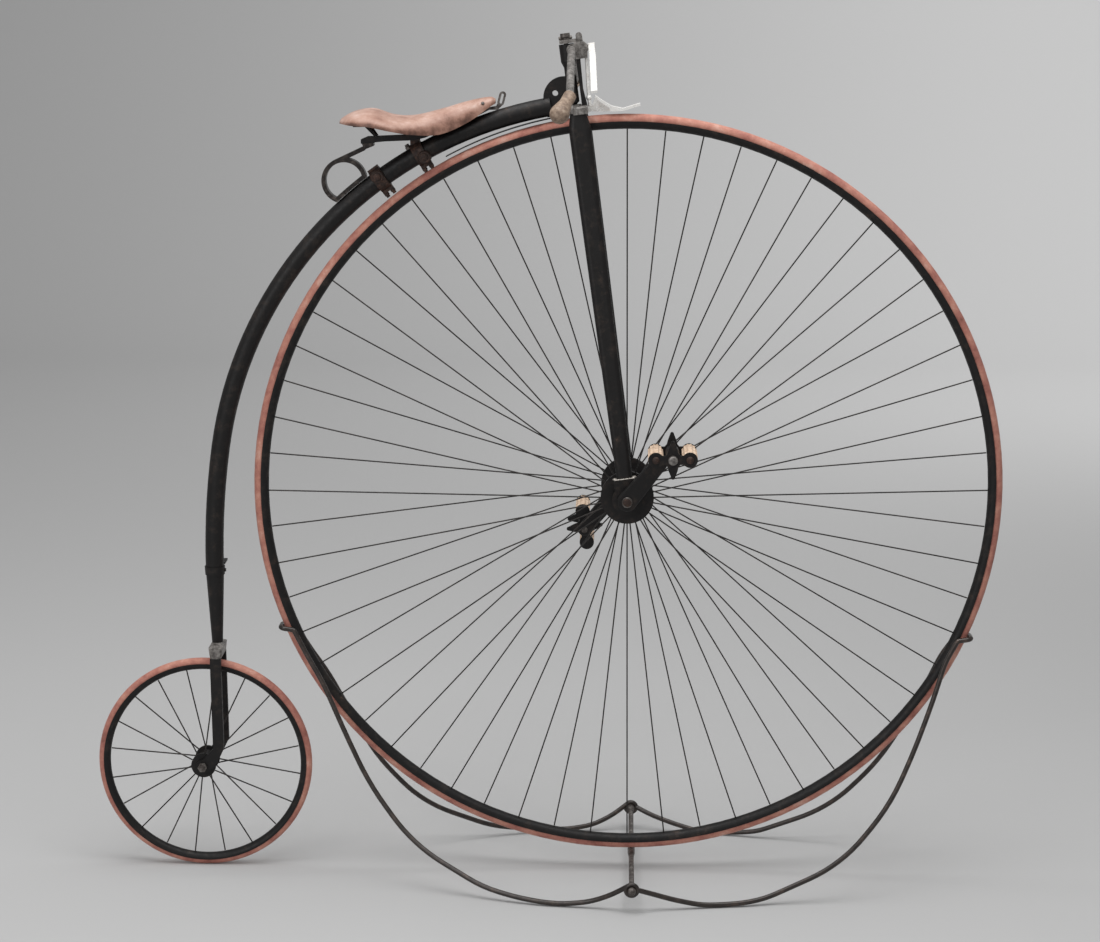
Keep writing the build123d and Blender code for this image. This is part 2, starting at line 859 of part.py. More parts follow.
def over_tyre(forward, gap=0.0):
    """The height up the fork line of a point at the given gap above the spoon's underside."""
    return sqrt((spoon_low + gap) ** 2 - forward**2)


with BuildPart() as brake_spoon:
    with BuildSketch(fork_side):
        with BuildLine():
            Polyline(
                (spoon_dip, over_tyre(spoon_dip)),
                (spoon_root + 24.0, over_tyre(spoon_root + 24.0)),
                (spoon_root + 24.0, over_tyre(spoon_root + 24.0, 6.0)),
                (spoon_root + 11.0, over_tyre(spoon_root + 11.0, 15.5)),
                (spoon_root, over_tyre(spoon_root, 27.0)),
                (spoon_root, over_tyre(spoon_root, 27.0 + spoon_plate)),
                (spoon_root + 14.0, over_tyre(spoon_root + 14.0, 14.5 + spoon_plate)),
                (spoon_root + 28.0, over_tyre(spoon_root + 28.0, 5.0 + spoon_plate)),
                (spoon_dip, over_tyre(spoon_dip, spoon_plate)),
                (spoon_root + spoon_length, over_tyre(spoon_dip) + 5.5 + spoon_plate),
                (spoon_root + spoon_length, over_tyre(spoon_dip) + 5.5),
                close=True,
            )
        make_face()
    extrude(amount=spoon_width / 2, both=True)
    with BuildSketch(fork_side):
        with BuildLine():
            Polyline(
                (block_front, crown_low + 1.0),
                (spoon_root, over_tyre(spoon_root)),
                (spoon_root + 25.0, over_tyre(spoon_root + 25.0)),
                (spoon_root + 25.0, over_tyre(spoon_root + 25.0, 6.5)),
                (spoon_root + 12.0, over_tyre(spoon_root + 12.0, 16.5)),
                (spoon_root, over_tyre(spoon_root, 27.5)),
                (block_front, block_top),
                (block_front - spoon_block_length, block_top),
                (block_front - spoon_block_length, crown_low + 1.0),
                close=True,
            )
        make_face()
    extrude(amount=spoon_web / 2, both=True)
save(brake_spoon, "brake_spoon")

# Mudguard: a narrow strip round the tyre behind the crown
guard_low = front_radius + guard_clearance
guard_high = guard_low + guard_thickness
with BuildPart() as mudguard:
    with BuildSketch(across(front_centre, -guard_width / 2)):
        with BuildLine():
            inner = CenterArc((0, 0), guard_low, 90 + guard_start, guard_end - guard_start)
            outer = CenterArc((0, 0), guard_high, 90 + guard_start, guard_end - guard_start)
            Line(inner @ 0, outer @ 0)
            Line(inner @ 1, outer @ 1)
        make_face()
    extrude(amount=-guard_width)
save(mudguard, "mudguard")

# Backbone: an upright stem, a long lower bend and an upper bend that follows the wheel.
# The two radii come from the turns and from the places of the stem and the neck.
low_turn = radians(lower_bend)
full_turn = radians(90 + neck_splay) - neck_turn
gap_x = neck_x - stem_x
gap_z = neck_z - stem_height
a11 = 1 - cos(low_turn)
a12 = cos(low_turn) - cos(full_turn)
a21 = sin(low_turn)
a22 = sin(full_turn) - sin(low_turn)
low_radius = (gap_x * a22 - gap_z * a12) / (a11 * a22 - a12 * a21)
top_radius = (a11 * gap_z - a21 * gap_x) / (a11 * a22 - a12 * a21)
top_turn = degrees(full_turn) - lower_bend
top_centre = (
    stem_x + low_radius - (low_radius - top_radius) * cos(low_turn),
    stem_height + (low_radius - top_radius) * sin(low_turn),
)


def backbone_plane(angle, lift=0.0):
    """The plane square to the upper bend at the given angle behind the vertical.

    Its z runs down the tube and its x points away from the wheel.
    """
    turn = radians(90 + angle)
    out = Vector(cos(turn), 0, sin(turn))
    place = Vector(top_centre[0], 0, top_centre[1]) + out * (top_radius + lift)
    return Plane(origin=place, x_dir=out, z_dir=(-sin(turn), 0, cos(turn)))


with BuildPart() as backbone:
    with BuildLine(Plane.XZ) as backbone_line:
        lower = JernArc((stem_x, stem_height), (0, 1), low_radius, -lower_bend)
        JernArc(lower @ 1, lower % 1, top_radius, -top_turn)
    with BuildSketch(Plane(origin=(stem_x, 0, stem_height), z_dir=(0, 0, 1))):
        Circle(backbone_radius)
        Circle(backbone_radius - backbone_wall, mode=Mode.SUBTRACT)
    sweep(path=backbone_line.line)
    for shrink, mode in ((0.0, Mode.ADD), (backbone_wall, Mode.SUBTRACT)):
        with BuildSketch(Plane.XY.offset(socket_top)):
            with Locations((stem_x, 0)):
                Circle(stem_low_radius - shrink)
        with BuildSketch(Plane.XY.offset(stem_height)):
            with Locations((stem_x, 0)):
                Circle(backbone_radius - shrink)
        loft(ruled=True, mode=mode)
save(backbone, "backbone")

# Neck: the spindle in the head, the half-round plate behind it and the backbone's collar
neck_end = backbone_plane(degrees(atan2(top_centre[0] - neck_x, neck_z - top_centre[1])))
with BuildPart() as neck:
    with BuildSketch(fork_side):
        with BuildLine():
            Polyline(
                (steering_offset, spindle_low),
                (steering_offset + spindle_radius / 2, spindle_low),
                (steering_offset + spindle_radius, spindle_low + 5.0),
                (steering_offset + spindle_radius, spindle_low + 51.0),
                (steering_offset + waist_radius, spindle_low + 55.0),
                (steering_offset + waist_radius, spindle_low + 69.0),
                (steering_offset + barrel_radius, spindle_low + 80.0),
                (steering_offset + barrel_radius, spindle_top),
                (steering_offset, spindle_top),
                close=True,
            )
        make_face()
    revolve(axis=steering_axis)
    with BuildSketch(fork_side):
        with Locations((-neck_disc_back, neck_disc_height)):
            Circle(neck_disc_radius)
        with Locations((-neck_disc_back - neck_disc_radius, spindle_low)):
            Rectangle(
                neck_disc_back + neck_disc_radius + steering_offset,
                2 * neck_disc_radius,
                align=(Align.MIN, Align.MIN),
                mode=Mode.INTERSECT,
            )
    extrude(amount=neck_thickness / 2, both=True)
    with BuildSketch(neck_end.offset(collar_length)):
        Circle(collar_radius)
    extrude(amount=-collar_length - collar_lip)
    with BuildSketch(neck_end):
        Circle(backbone_radius + snug)
    extrude(amount=2 * collar_length, mode=Mode.SUBTRACT)
    with BuildSketch(fork_side.offset(-neck_thickness)):
        with Locations((-neck_hole_back, crown_top + neck_hole_up)):
            Circle(neck_hole_radius)
    extrude(amount=2 * neck_thickness, mode=Mode.SUBTRACT)
save(neck, "neck")

# Mounting step on the rider's left of the stem, held by a thin band with one screw
stem_taper = (backbone_radius - stem_low_radius) / (stem_height - socket_top)
band_low = step_height - step_band_height / 2
band_top = step_height + step_band_height / 2
with BuildPart() as step:
    for grow, mode in ((step_band_wall, Mode.ADD), (snug, Mode.SUBTRACT)):
        for height in (band_low, band_top):
            with BuildSketch(Plane.XY.offset(height)):
                with Locations((stem_x, 0)):
                    Circle(stem_low_radius + stem_taper * (height - socket_top) + grow)
        loft(ruled=True, mode=mode)
    band_radius = stem_low_radius + stem_taper * (step_height - socket_top) + step_band_wall
    rod(
        (stem_x + band_radius - 0.8, 0, step_height),
        (stem_x + band_radius + 2.2, 0, step_height),
        step_screw_radius,
    )
    rod(
        (stem_x, band_radius - 0.8, step_height),
        (stem_x, band_radius + step_reach, step_height),
        step_peg_radius,
    )
    with Locations((stem_x, band_radius + step_reach / 2 + 6.0, step_height + step_peg_radius)):
        Box(step_tread, step_reach - 12.0, step_tread_thickness)
save(step, "step")

# Rear fork
with BuildPart() as rear_fork_crown:
    shoulder_z = rear_crown_top + socket_height * 0.55
    for low, high, low_scale, high_scale in (
        (rear_crown_low, shoulder_z, rear_crown_taper, 1.0),
        (shoulder_z, socket_top, 1.0, 0.62),
    ):
        for height, scale_to in ((low, low_scale), (high, high_scale)):
            with BuildSketch(Plane.XY.offset(height)):
                with Locations((stem_x, 0)):
                    RectangleRounded(
                        rear_crown_length * scale_to,
                        2 * rear_blade_out * (1.0 if height < socket_top else 0.4),
                        9.0 * scale_to,
                    )
        loft(ruled=True)
save(rear_fork_crown, "rear_fork_crown")

blade_low = rear_crown_low - rear_radius
for name, side in sides:
    with BuildPart() as rear_blade:
        with BuildSketch(across(rear_centre, side * rear_blade_in)):
            with BuildLine():
                Polyline(
                    (stem_ahead - rear_blade_width / 2, blade_low),
                    (stem_ahead - rear_blade_width / 2, 36.0),
                    (0.0, rear_eye_radius - 0.5),
                    (6.0, -rear_eye_radius + 1.6),
                    (stem_ahead - 7.6, 0.0),
                    (stem_ahead + 1.4, 18.0),
                    (stem_ahead + rear_blade_width / 2, 36.0),
                    (stem_ahead + rear_blade_width / 2, blade_low),
                    close=True,
                )
            make_face()
            Circle(rear_eye_radius)
            Circle(rear_axle_radius + snug, mode=Mode.SUBTRACT)
        extrude(amount=-side * rear_blade_thickness)
    save(rear_blade, f"rear_fork_blade_{name}")

rear_axle_half = rear_blade_out + rear_nut_width + 3.0
with BuildPart() as rear_axle:
    with BuildSketch(across(rear_centre, rear_axle_half)):
        Circle(rear_axle_radius)
    extrude(amount=2 * rear_axle_half)
    for side in (-1, 1):
        with BuildSketch(across(rear_centre, side * rear_blade_out)):
            RegularPolygon(rear_nut_radius, 6)
        extrude(amount=-side * rear_nut_width)
save(rear_axle, "rear_axle")

# Saddle: a leather hammock on a bar over the backbone, with one flat coil spring behind
saddle_origin = backbone_plane(clamp_angle).origin


def saddle_point(back, y, height):
    """A place so far behind the saddle clamp's middle and so far above it."""
    return saddle_origin + Vector(-back, y, height)


def saddle_section(back):
    """The plane square to the machine's length at the given place: its x is Y, its y is Z."""
    return Plane(origin=saddle_point(back, 0, 0), x_dir=(0, 1, 0), z_dir=(1, 0, 0))


def side_outline(points):
    """The closed side view of a saddle iron, in X and Z."""
    places = [saddle_point(back, 0, height) for back, height in points]
    return Polyline(*[(place.X, place.Z) for place in places], close=True)


with BuildPart() as saddle_leather:
    for station, next_station in zip(saddle_stations, saddle_stations[1:]):
        for inset, mode in ((0.0, Mode.ADD), (saddle_thickness, Mode.SUBTRACT)):
            for back, half, top, edge in (station, next_station):
                with BuildSketch(saddle_section(back)):
                    with BuildLine():
                        arch = ThreePointArc(
                            (-half + inset, edge), (0, top - inset), (half - inset, edge)
                        )
                        Line(arch @ 0, arch @ 1)
                    make_face()
            loft(ruled=True, mode=mode)
save(saddle_leather, "saddle_leather")

with BuildPart() as saddle_bar:
    with BuildSketch(Plane.XZ):
        with BuildLine():
            side_outline(saddle_bar_outline)
        make_face()
    extrude(amount=saddle_bar_width / 2, both=True)
save(saddle_bar, "saddle_bar")

# The hook stands up in front of the nose and ends in a narrow eye
eye_low = saddle_point(nose_eye_low[0], 0, nose_eye_low[1])
eye_high = saddle_point(nose_eye_high[0], 0, nose_eye_high[1])
with BuildPart() as nose_hook:
    with BuildSketch(Plane.XZ):
        with BuildLine():
            side_outline(nose_hook_outline)
        make_face()
        with BuildLine():
            eye_line = Line((eye_low.X, eye_low.Z), (eye_high.X, eye_high.Z))
        SlotCenterPoint(eye_line @ 0.5, eye_line @ 1, 2 * nose_eye_radius)
        SlotCenterPoint(eye_line @ 0.5, eye_line @ 1, 2 * nose_eye_hole, mode=Mode.SUBTRACT)
    extrude(amount=nose_hook_width / 2, both=True)
save(nose_hook, "nose_hook")

bar_top_z = saddle_point(0, 0, strut_low).Z + seat
with BuildPart() as saddle_cantle:
    with BuildSketch(saddle_section(cantle_back)):
        with BuildLine():
            upper = ThreePointArc(
                (-cantle_half, cantle_low), (0, cantle_top), (cantle_half, cantle_low)
            )
            under = ThreePointArc(
                (-cantle_half, cantle_low - cantle_thickness),
                (0, cantle_top - cantle_thickness),
                (cantle_half, cantle_low - cantle_thickness),
            )
            Line(upper @ 0, under @ 0)
            Line(upper @ 1, under @ 1)
        make_face()
    extrude(amount=-cantle_length)
    for side in (-1, 1):
        foot = saddle_point(strut_back, side * strut_root, 0)
        head = saddle_point(cantle_back + cantle_length / 2, side * strut_spread, strut_high)
        with BuildSketch(Plane.XY.offset(bar_top_z)):
            with Locations((foot.X, foot.Y)):
                Circle(strut_radius)
        with BuildSketch(Plane.XY.offset(head.Z)):
            with Locations((head.X, head.Y)):
                Circle(strut_radius)
        loft(ruled=True)
save(saddle_cantle, "saddle_cantle")

# Coil spring: a loop that lies flat along the backbone, and a strand up to the saddle bar
spring_centre = saddle_point(spring_back, 0, -spring_low)
backbone_top = top_radius + backbone_radius + seat
strand_turn = radians(90 + spring_strand_slope)
strand_out = Vector(cos(strand_turn), sin(strand_turn))
strand_along = Vector(sin(strand_turn), -cos(strand_turn)) * spring_strand
outer = Vector(spring_centre.X, spring_centre.Z) + strand_out * spring_radius
inner = outer - strand_out * spring_thickness
with BuildPart() as saddle_spring:
    for inset, mode in ((0.0, Mode.ADD), (spring_thickness, Mode.SUBTRACT)):
        with BuildSketch(Plane.XZ):
            with Locations((spring_centre.X, spring_centre.Z)):
                Circle(spring_radius - inset)
            with Locations(top_centre):
                Circle(backbone_top + inset, mode=Mode.SUBTRACT)
        extrude(amount=spring_width / 2, both=True, mode=mode)
    with BuildSketch(Plane.XZ):
        with BuildLine():
            Polyline(outer, outer + strand_along, inner + strand_along, inner, close=True)
        make_face()
        with BuildLine():
            side_outline(spring_pad_outline)
        make_face()
    extrude(amount=spring_width / 2, both=True)
save(saddle_spring, "saddle_spring")

# Two clamps round the backbone: the rear one holds the spring, the front one the bar
clamp_radius = backbone_radius + clamp_wall
for node, angle, top_ear in (
    ("spring_clamp", clamp_angle + degrees(clamp_spacing / top_radius), clamp_top_ear),
    ("saddle_clamp", clamp_angle, 0.0),
):
    with BuildPart() as clamp:
        with BuildSketch(backbone_plane(angle).offset(-clamp_length / 2)):
            Circle(clamp_radius)
            for out, ear in ((1, top_ear), (-1, clamp_low_ear)):
                with Locations((out * (clamp_radius + ear) / 2, 0)):
                    Rectangle(clamp_radius + ear, clamp_ear_width)
            Circle(backbone_radius + snug, mode=Mode.SUBTRACT)
        extrude(amount=clamp_length)
        if node == "saddle_clamp":
            with BuildSketch(Plane.XZ):
                with BuildLine():
                    side_outline(saddle_foot_outline)
                make_face()
            extrude(amount=saddle_foot_width / 2, both=True)
    save(clamp, node)

# Display stand: each side wire turns once round the crossbar's end. Both ways from there it
# runs down to the floor and rises round the wheel, to a hook behind or before the tyre.
stand_x = wheel_x + stand_middle
seat_reach = front_radius + seat + crossbar_seat_radius
crossbar_middle_height = wheel_z - sqrt(seat_reach**2 - stand_middle**2)
eye_share = (stand_eye_y / crossbar_half) ** 2
stand_eye_height = crossbar_middle_height
stand_eye_height += (crossbar_end_height - crossbar_middle_height) * eye_share
stand_eye_radius = crossbar_radius + seat + stand_wire_radius
rear_feet = [(along, low, half) for along, low, half, _, _ in stand_feet]
front_feet = [(along, low, half) for along, _, _, low, half in stand_feet]
rear_arms = [(angle, past, half) for angle, past, half, _, _ in stand_arms]
front_arms = [(angle, past, half) for angle, _, _, past, half in stand_arms]
ways = (
    # way, feet, arms, leaving angle, hook's angle
    (-1, rear_feet, rear_arms, stand_eye_leave[0], hook_angles[0]),
    (1, front_feet, front_arms, stand_eye_leave[1], hook_angles[1]),
)


def widest_bends(points):
    """A bend radius for each inner point that uses the same share of the shorter leg."""
    radii = []
    for before, here, after in zip(points, points[1:], points[2:]):
        arrive = Vector(*here) - Vector(*before)
        leave = Vector(*after) - Vector(*here)
        turn = radians(arrive.get_angle(leave))
        radii.append(stand_bend_share * min(arrive.length, leave.length) / tan(turn / 2))
    return radii


for name, side in sides:
    with BuildPart() as stand_wire:
        for way, way_feet, way_arms, leave, hook_angle in ways:
            start = (
                stand_x + stand_eye_radius * cos(radians(leave)),
                side * stand_eye_y,
                stand_eye_height + stand_eye_radius * sin(radians(leave)),
            )
            feet = [(stand_x + way * along, side * half, low) for along, low, half in way_feet]
            arms = [
                (
                    wheel_x + way * (front_radius + past) * sin(radians(angle)),
                    side * half,
                    wheel_z - (front_radius + past) * cos(radians(angle)),
                )
                for angle, past, half in way_arms
            ]
            hook_radius = front_radius - hook_inside
            hook_x = hook_radius * sin(radians(hook_angle))
            hook_z = wheel_z - hook_radius * cos(radians(hook_angle))
            outer_z = hook_z + hook_rise
            outer_radius = front_radius + hook_outside
            outer_x = sqrt(outer_radius**2 - (wheel_z - outer_z) ** 2)
            rising = [start, *feet, *arms, (wheel_x + way * hook_x, side * hook_spread, hook_z)]
            hook = [
                (wheel_x + way * outer_x, side * hook_spread, outer_z),
                (wheel_x + way * outer_x, 0, outer_z),
            ]
            bends = [*widest_bends(rising), hook_elbow_radius, hook_corner_radius]
            with BuildLine() as wire_line:
                FilletPolyline(*rising, *hook, radius=bends)
            with BuildSketch(Plane(origin=wire_line.line @ 0, z_dir=wire_line.line % 0)):
                Circle(stand_wire_radius)
            sweep(path=wire_line.line)
        with Locations(Plane(origin=(stand_x, side * stand_eye_y, stand_eye_height), z_dir=(0, 1, 0))):
            Torus(stand_eye_radius, stand_wire_radius)
    save(stand_wire, f"stand_wire_{name}", on_floor)

# The crossbar sags to a thicker seat under the tyre. Each end has a shoulder inside the
# wire's eye and a round head outside it.
with BuildPart() as stand_crossbar:
    with BuildLine() as bar_line:
        bar_arc = ThreePointArc(
            (stand_x, -crossbar_half, crossbar_end_height),
            (stand_x, 0, crossbar_middle_height),
            (stand_x, crossbar_half, crossbar_end_height),
        )
    with BuildSketch(Plane(origin=bar_arc @ 0, z_dir=bar_arc % 0)):
        Circle(crossbar_radius)
    sweep(path=bar_arc)
    with Locations(bar_arc @ 0, bar_arc @ 1):
        Sphere(crossbar_head_radius)
    seat_middle = Vector(stand_x, 0, crossbar_middle_height)
    with Locations(Plane(origin=seat_middle, z_dir=(0, 1, 0))):
        Cylinder(crossbar_seat_radius, 2 * crossbar_seat_half)
    shoulder_y = stand_eye_y - stand_wire_radius - seat
    for side in (-1, 1):
        taper_start = seat_middle + Vector(0, side * crossbar_seat_half, 0)
        with Locations(Plane(origin=taper_start, z_dir=(0, side, 0))):
            Cone(
                crossbar_seat_radius,
                crossbar_taper_end,
                crossbar_seat_taper,
                align=(Align.CENTER, Align.CENTER, Align.MIN),
            )
        along = (1 + side * shoulder_y / crossbar_half) / 2
        with Locations(Plane(origin=bar_arc @ along, z_dir=(bar_arc % along) * -side)):
            Cone(
                crossbar_head_radius,
                crossbar_taper_end,
                crossbar_shoulder_length,
                align=(Align.CENTER, Align.CENTER, Align.MIN),
            )
save(stand_crossbar, "stand_crossbar", on_floor)
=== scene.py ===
"""High wheel bicycle in its wire display stand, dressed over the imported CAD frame.

The row frame is in metres: X forward, Y to the rider's left, Z up from the floor. New pieces
are measured in millimetres from the front axle, with the stem upright, and placed() brings
them into the row frame.
"""

import json
from math import cos, radians, sin

import bpy
import numpy as np
from mathutils import Matrix, Vector


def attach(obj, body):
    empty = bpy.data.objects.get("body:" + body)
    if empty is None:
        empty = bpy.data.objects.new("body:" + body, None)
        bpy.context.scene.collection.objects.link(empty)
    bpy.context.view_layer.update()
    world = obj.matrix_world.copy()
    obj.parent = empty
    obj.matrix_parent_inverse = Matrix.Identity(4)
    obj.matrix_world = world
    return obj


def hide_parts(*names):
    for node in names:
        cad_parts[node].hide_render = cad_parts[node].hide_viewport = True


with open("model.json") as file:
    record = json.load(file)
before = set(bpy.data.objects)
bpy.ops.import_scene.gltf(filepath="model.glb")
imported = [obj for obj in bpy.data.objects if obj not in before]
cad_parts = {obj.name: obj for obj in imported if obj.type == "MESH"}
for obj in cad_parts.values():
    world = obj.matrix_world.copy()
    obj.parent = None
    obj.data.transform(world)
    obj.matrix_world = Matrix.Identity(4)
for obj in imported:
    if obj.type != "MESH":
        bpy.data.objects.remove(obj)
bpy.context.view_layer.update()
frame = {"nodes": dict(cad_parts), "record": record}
nodes = frame["nodes"]

# The camera of the photograph, found from the wheels, hubs and stand
camera_place = (0.1382, -5.0768, 1.7777)
camera_yaw = 1.458
camera_pitch = 11.005
camera_roll = 0.266
camera_lens = 89.06
camera_sensor = 36.0

# Noise lies mostly between these values
noise_low = 0.3
noise_high = 0.7
# The upward part of a face's normal where the painted shade starts and ends to follow it
turned_down = -0.1
turned_up = 0.55
coat_roughness = 0.25
sheen_roughness = 0.5


# Shader nodes
def linear(code):
    """An sRGB hex colour as linear RGBA."""
    values = [int(code[i : i + 2], 16) / 255 for i in (1, 3, 5)]
    return [v / 12.92 if v <= 0.04045 else ((v + 0.055) / 1.055) ** 2.4 for v in values] + [1.0]


def node(tree, kind, links=(), **values):
    """A shader node with its values set and its inputs linked, as (input, output socket)."""
    made = tree.nodes.new(kind)
    for name, value in values.items():
        if hasattr(made, name):
            setattr(made, name, value)
        else:
            made.inputs[name.replace("_", " ")].default_value = value
    for target, source in links:
        tree.links.new(source, made.inputs[target])
    return made


def ramp(tree, factor, stops):
    """A colour ramp through the (position, hex colour) stops."""
    made = node(tree, "ShaderNodeValToRGB", [("Fac", factor)])
    band = made.color_ramp
    while len(band.elements) < len(stops):
        band.elements.new(0.5)
    for element, (position, code) in zip(band.elements, stops):
        element.position = position
        element.color = linear(code)
    return made.outputs["Color"]


def noise(tree, cell, detail, roughness):
    """Noise whose cells are about the given millimetres, from the object's own coordinates."""
    place = node(tree, "ShaderNodeTexCoord")
    mapping = node(tree, "ShaderNodeMapping", [("Vector", place.outputs["Object"])])
    mapping.inputs["Scale"].default_value = [1000 / cell] * 3
    made = node(
        tree,
        "ShaderNodeTexNoise",
        [("Vector", mapping.outputs["Vector"])],
        Scale=1.0,
        Detail=detail,
        Roughness=roughness,
    )
    return made.outputs["Fac"]


def scaled(tree, factor, low, high, low_out, high_out):
    """A value mapped from one range to another and held at its ends."""
    made = node(
        tree,
        "ShaderNodeMapRange",
        [("Value", factor)],
        From_Min=low,
        From_Max=high,
        To_Min=low_out,
        To_Max=high_out,
    )
    return made.outputs["Result"]


def shade_by_facing(tree, low_out, high_out):
    """Painted shade: a value that grows from faces turned level or down to faces turned up."""
    shape = node(tree, "ShaderNodeNewGeometry")
    parts = node(tree, "ShaderNodeSeparateXYZ", [("Vector", shape.outputs["Normal"])])
    return scaled(tree, parts.outputs["Z"], turned_down, turned_up, low_out, high_out)


def added(tree, first, second):
    """The sum of two values."""
    made = node(tree, "ShaderNodeMath", [(0, first), (1, second)], operation="ADD")
    return made.outputs["Value"]


# What a material is made from
def mottled(cell, detail, roughness, stops):
    """A colour that follows noise through the stops."""
    return lambda tree: ramp(tree, noise(tree, cell, detail, roughness), stops)


def patchy(cell, detail, roughness, least, most):
    """A shine that follows noise between its least and its most roughness."""
    return lambda tree: scaled(
        tree, noise(tree, cell, detail, roughness), noise_low, noise_high, least, most
    )


def pitted(cell, detail, roughness, depth):
    """A bump of noise: its height, and its depth in metres."""
    return (lambda tree: noise(tree, cell, detail, roughness)), depth


def material(name, colour, roughness, metallic=0.0, bump=None, coat=0.0, sheen=0.0, specular=0.5):
    """A Principled material. Its colour and roughness are a value or a function of the tree."""
    made = bpy.data.materials.new(name)
    made.use_nodes = True
    tree = made.node_tree
    tree.nodes.clear()
    shader = node(
        tree,
        "ShaderNodeBsdfPrincipled",
        Metallic=metallic,
        Coat_Weight=coat,
        Coat_Roughness=coat_roughness,
        Sheen_Weight=sheen,
        Sheen_Roughness=sheen_roughness,
        Specular_IOR_Level=specular,
    )
    node(tree, "ShaderNodeOutputMaterial", [("Surface", shader.outputs["BSDF"])])
    if callable(colour):
        tree.links.new(colour(tree), shader.inputs["Base Color"])
    else:
        shader.inputs["Base Color"].default_value = linear(colour)
    if callable(roughness):
        tree.links.new(roughness(tree), shader.inputs["Roughness"])
    else:
        shader.inputs["Roughness"].default_value = roughness
    if bump:
        height, depth = bump
        raised = node(
            tree, "ShaderNodeBump", [("Height", height(tree))], Strength=1.0, Distance=depth
        )
        tree.links.new(raised.outputs["Normal"], shader.inputs["Normal"])
    return made


# Old black stove enamel on steel: near black, with brown where rust shows through thin spots
enamel = material(
    "old_black_enamel",
    mottled(22, 8, 0.7, [(0.0, "#0b0a0a"), (0.52, "#131111"), (0.66, "#2a231f"), (0.76, "#5a483d")]),
    patchy(9, 6, 0.65, 0.36, 0.62),
    bump=pitted(5, 6, 0.7, 0.0003),
    specular=0.3,
)
# Solid red rubber, sun-bleached and dusty, with darker scuffs
red_rubber = material(
    "aged_red_tyre_rubber",
    mottled(
        42, 9, 0.68, [(0.27, "#704236"), (0.42, "#a2665a"), (0.57, "#bb8170"), (0.72, "#cfa798")]
    ),
    patchy(12, 5, 0.6, 0.6, 0.85),
    bump=pitted(3.5, 6, 0.7, 0.0003),
    sheen=0.1,
)
# Aged nickel plate on steel, pale with a few grey pits
nickel = material(
    "aged_nickel_plate",
    mottled(11, 7, 0.7, [(0.24, "#a39c92"), (0.38, "#eeebe6"), (0.7, "#fbfaf8")]),
    patchy(8, 5, 0.6, 0.2, 0.38),
    metallic=0.25,
)
# Steel with its enamel worn off: dark grey with rubbed patches
worn_steel = material(
    "worn_bare_steel",
    mottled(
        12, 8, 0.72, [(0.3, "#2a2522"), (0.46, "#4d4744"), (0.6, "#78736f"), (0.74, "#a19c97")]
    ),
    patchy(7, 5, 0.6, 0.35, 0.6),
    metallic=0.55,
    bump=pitted(4, 6, 0.7, 0.0003),
)
# Lighter bare steel of the handlebars, lug and crowns, rubbed grey with dark pits
rubbed_steel = material(
    "rubbed_grey_steel",
    mottled(
        9, 9, 0.75, [(0.3, "#2f2b29"), (0.44, "#625e5b"), (0.58, "#8f8b87"), (0.74, "#b8b4af")]
    ),
    patchy(6, 5, 0.6, 0.32, 0.6),
    metallic=0.4,
    bump=pitted(3, 7, 0.72, 0.0003),
)
# Bright steel of bolt heads and rubbed edges, its brightness partly rubbed wear and partly a painted
# highlight
wear_and_highlight_steel = material(
    "rubbed_steel_painted_highlight",
    mottled(4, 6, 0.7, [(0.3, "#6e6862"), (0.55, "#b9b3ab"), (0.8, "#dcd7d0")]),
    0.38,
    metallic=0.7,
)
# Black-brown spoke wire
spoke_wire = material(
    "dark_spoke_wire",
    mottled(30, 6, 0.6, [(0.35, "#171615"), (0.7, "#3a3431")]),
    0.42,
    metallic=0.4,
)
# Brown rusted steel of the clamps, their bolts and the small nuts
rusty_steel = material(
    "brown_rusted_steel",
    mottled(8, 9, 0.75, [(0.3, "#1c1613"), (0.5, "#33241e"), (0.72, "#624537")]),
    patchy(6, 5, 0.6, 0.45, 0.75),
    metallic=0.3,
    bump=pitted(3, 7, 0.75, 0.0004),
)
# Dark spring strap, worn brown and grey
spring_steel = material(
    "worn_spring_strap",
    mottled(9, 8, 0.72, [(0.3, "#191615"), (0.5, "#2c2725"), (0.7, "#5d5550")]),
    patchy(6, 5, 0.6, 0.3, 0.55),
    metallic=0.5,
)
# Blacked iron wire of the stand, with brown showing
stand_iron = material(
    "blacked_iron_wire",
    mottled(16, 8, 0.7, [(0.3, "#1d1a18"), (0.55, "#352d29"), (0.75, "#5a4a41")]),
    patchy(10, 5, 0.6, 0.26, 0.5),
    metallic=0.4,
    coat=0.35,
)
# Dry tan-pink saddle leather, with painted shade darkening it where it turns down at its edge
leather_and_shade_stops = [
    (0.1, "#35241d"),
    (0.27, "#6b4a3d"),
    (0.42, "#9a7363"),
    (0.58, "#b08d7e"),
    (0.76, "#c9afa4"),
]
leather = material(
    "dry_saddle_leather_painted_shade",
    # Noise gives the leather's own colour; the facing term adds painted shade on faces turned down
    lambda tree: ramp(
        tree, added(tree, noise(tree, 38, 9, 0.66), shade_by_facing(tree, -0.26, 0.02)), leather_and_shade_stops
    ),
    patchy(10, 5, 0.6, 0.4, 0.62),
    bump=pitted(2.2, 8, 0.7, 0.0003),
    sheen=0.08,
)
# Cream rubber of the pedal blocks
cream_rubber = material(
    "aged_cream_rubber",
    mottled(14, 7, 0.65, [(0.25, "#8b6d55"), (0.45, "#cbb097"), (0.7, "#e2cdb7")]),
    0.72,
    bump=pitted(2, 6, 0.7, 0.0003),
)
# Turned handle grips, beige-brown with the finish worn through
grip_wood = material(
    "worn_handle_grip",
    mottled(
        9, 9, 0.72, [(0.28, "#4c3c32"), (0.47, "#806c5c"), (0.62, "#a08c7a"), (0.8, "#b9a796")]
    ),
    patchy(7, 5, 0.6, 0.45, 0.7),
    bump=pitted(3, 7, 0.72, 0.0004),
)
# Pale grey paper of the studio
paper = material("studio_paper", "#bbbbbb", 0.9, specular=0.1)

